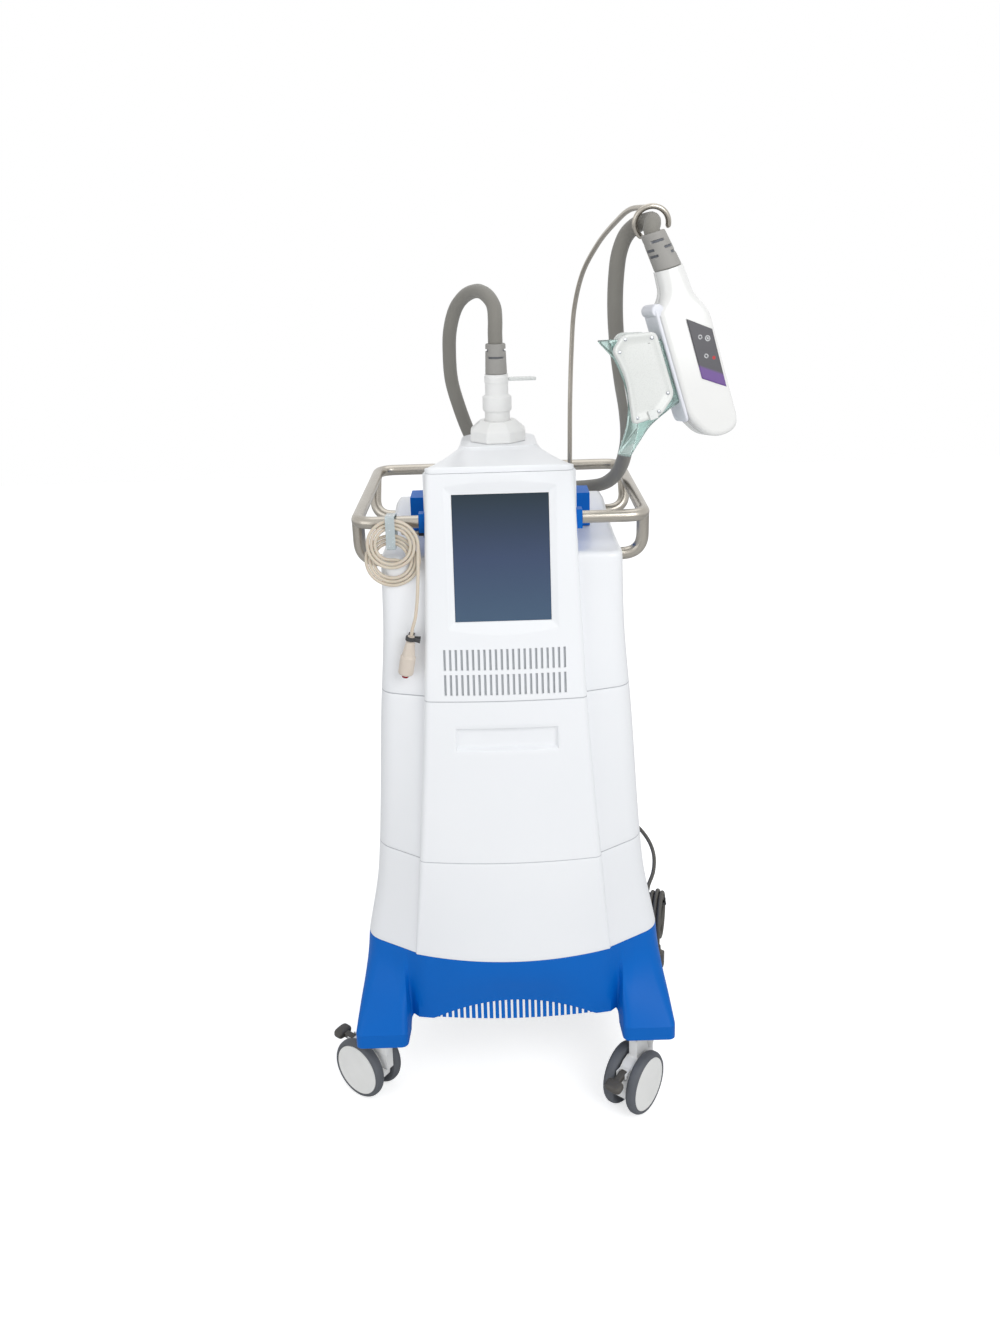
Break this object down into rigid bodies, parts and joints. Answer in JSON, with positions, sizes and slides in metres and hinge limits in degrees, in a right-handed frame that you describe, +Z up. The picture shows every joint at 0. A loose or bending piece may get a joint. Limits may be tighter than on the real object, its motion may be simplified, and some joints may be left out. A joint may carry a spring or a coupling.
{
  "type": "cryolipolysis machine",
  "caption": "Mobile fat-freezing console with tilted display, blue skirt, handle rail, twin-wheel casters, and a docked hose with a cooling cup applicator on a mast.",
  "frame": {"origin": "on the floor under the middle of the machine without its cords", "axes": "+Z up, the display faces -Y, +X to the right as seen from the front"},
  "size_m": [0.8214, 0.7194, 1.805],
  "materials": {
    "body_white": "moulded cool white shell, satin gloss",
    "blue": "moulded medium blue shell",
    "stainless": "satin stainless tube",
    "zinc": "plain metal, inside",
    "screen": "dark slate display glass",
    "tyre": "grey tyre, pale cap",
    "dark": "dark grey plastic",
    "hose": "warm grey jacket",
    "teal": "translucent teal",
    "beige": "beige plastic",
    "cord_beige": "beige cord jacket",
    "cord_dark": "dark grey cord jacket",
    "red": "dark red button",
    "strap": "pale strap"
  },
  "bodies": {
    "console": {"applicator_back": "body_white", "applicator_shell": "body_white", "applicator_sleeve": "hose", "base_plate": "zinc", "base_skirt": "blue", "call_cord_coil": "cord_beige", "call_cord_lead": "cord_beige", "call_cord_tail": "cord_beige", "call_socket": "dark", "chiller_unit": "zinc", "console_bezel": "body_white", "console_core": "blue", "coolant_reservoir": "body_white", "cooling_plate_front": "body_white", "cooling_plate_rear": "body_white", "cord_cleat": "dark", "cord_strap": "strap", "cup": "teal", "display_module": "screen", "dock_connector": "body_white", "dock_housing": "body_white", "dock_sleeve": "hose", "handle_rail": "stainless", "handset_body": "beige", "handset_clip": "dark", "intake_grille": "blue", "keypad": "dark", "lower_shell": "body_white", "mains_coil": "cord_dark", "mains_inlet": "dark", "mains_lead": "cord_dark", "mains_plug": "dark", "mast": "stainless", "mast_socket": "zinc", "middle_side_left": "body_white", "middle_side_right": "body_white", "power_supply": "zinc", "rear_cover": "body_white", "top_deck": "body_white", "umbilical_hose": "hose", "upper_side_left": "body_white", "upper_side_right": "body_white"},
    "caster_front_left": {"caster_fork_front_left": "body_white"},
    "wheel_front_left_inner": {"wheel_front_left_inner": "tyre"},
    "wheel_front_left_outer": {"wheel_front_left_outer": "tyre"},
    "caster_front_right": {"caster_fork_front_right": "body_white"},
    "wheel_front_right_inner": {"wheel_front_right_inner": "tyre"},
    "wheel_front_right_outer": {"wheel_front_right_outer": "tyre"},
    "caster_rear_left": {"caster_fork_rear_left": "body_white"},
    "wheel_rear_left_inner": {"wheel_rear_left_inner": "tyre"},
    "wheel_rear_left_outer": {"wheel_rear_left_outer": "tyre"},
    "caster_rear_right": {"caster_fork_rear_right": "body_white"},
    "wheel_rear_right_inner": {"wheel_rear_right_inner": "tyre"},
    "wheel_rear_right_outer": {"wheel_rear_right_outer": "tyre"},
    "pedal_left": {"brake_pedal_front_left": "dark"},
    "pedal_right": {"brake_pedal_front_right": "dark"},
    "panel": {"access_panel": "body_white"},
    "fan": {"fan_rotor": "dark"},
    "button": {"call_button": "red"},
    "latch": {"connector_latch": "strap"}
  },
  "joints": [
    {"name": "swivel_front_left", "type": "hinge", "parent": "console", "child": "caster_front_left", "pos_m": [-0.2871, -0.22678, 0.16], "axis": [0, 0, 1], "continuous": true},
    {"name": "roll_front_left_inner", "type": "hinge", "parent": "caster_front_left", "child": "wheel_front_left_inner", "pos_m": [-0.32863, -0.19549, 0.0625], "axis": [-0.6018, -0.7986, 0], "continuous": true},
    {"name": "roll_front_left_outer", "type": "hinge", "parent": "caster_front_left", "child": "wheel_front_left_outer", "pos_m": [-0.32863, -0.19549, 0.0625], "axis": [-0.6018, -0.7986, 0], "continuous": true},
    {"name": "swivel_front_right", "type": "hinge", "parent": "console", "child": "caster_front_right", "pos_m": [0.2569, -0.22678, 0.16], "axis": [0, 0, 1], "continuous": true},
    {"name": "roll_front_right_inner", "type": "hinge", "parent": "caster_front_right", "child": "wheel_front_right_inner", "pos_m": [0.22489, -0.26776, 0.0625], "axis": [0.788, -0.6157, 0], "continuous": true},
    {"name": "roll_front_right_outer", "type": "hinge", "parent": "caster_front_right", "child": "wheel_front_right_outer", "pos_m": [0.22489, -0.26776, 0.0625], "axis": [0.788, -0.6157, 0], "continuous": true},
    {"name": "swivel_rear_left", "type": "hinge", "parent": "console", "child": "caster_rear_left", "pos_m": [-0.2871, 0.22722, 0.16], "axis": [0, 0, 1], "continuous": true},
    {"name": "roll_rear_left_inner", "type": "hinge", "parent": "caster_rear_left", "child": "wheel_rear_left_inner", "pos_m": [-0.29702, 0.27826, 0.0625], "axis": [-0.9816, -0.1908, 0], "continuous": true},
    {"name": "roll_rear_left_outer", "type": "hinge", "parent": "caster_rear_left", "child": "wheel_rear_left_outer", "pos_m": [-0.29702, 0.27826, 0.0625], "axis": [-0.9816, -0.1908, 0], "continuous": true},
    {"name": "swivel_rear_right", "type": "hinge", "parent": "console", "child": "caster_rear_right", "pos_m": [0.2569, 0.22722, 0.16], "axis": [0, 0, 1], "continuous": true},
    {"name": "roll_rear_right_inner", "type": "hinge", "parent": "caster_rear_right", "child": "wheel_rear_right_inner", "pos_m": [0.27123, 0.2772, 0.0625], "axis": [-0.9613, 0.2756, 0], "continuous": true},
    {"name": "roll_rear_right_outer", "type": "hinge", "parent": "caster_rear_right", "child": "wheel_rear_right_outer", "pos_m": [0.27123, 0.2772, 0.0625], "axis": [-0.9613, 0.2756, 0], "continuous": true},
    {"name": "brake_left", "type": "hinge", "parent": "caster_front_left", "child": "pedal_left", "pos_m": [-0.36297, -0.16961, 0.0985], "axis": [-0.6018, -0.7986, 0], "range_deg": [0, 28]},
    {"name": "brake_right", "type": "hinge", "parent": "caster_front_right", "child": "pedal_right", "pos_m": [0.19841, -0.30164, 0.0985], "axis": [0.788, -0.6157, 0], "range_deg": [-28, 0]},
    {"name": "panel_pull", "type": "slide", "parent": "console", "child": "panel", "axis": [0, -1, 0], "range_m": [0, 0.06]},
    {"name": "fan_spin", "type": "hinge", "parent": "console", "child": "fan", "pos_m": [-0.0151, -0.10578, 0.3], "axis": [0, 1, 0], "continuous": true},
    {"name": "button_press", "type": "slide", "parent": "console", "child": "button", "axis": [0.1857, 0, 0.9826], "range_m": [0, 0.003], "stiffness_N_per_m": 300, "springref_m": -0.001},
    {"name": "latch_press", "type": "hinge", "parent": "console", "child": "latch", "pos_m": [0.0093, 0.02922, 1.4725], "axis": [0, 1, 0], "range_deg": [-25, 0], "stiffness_Nm_per_rad": 0.4, "springref_deg": 8.59}
  ]
}
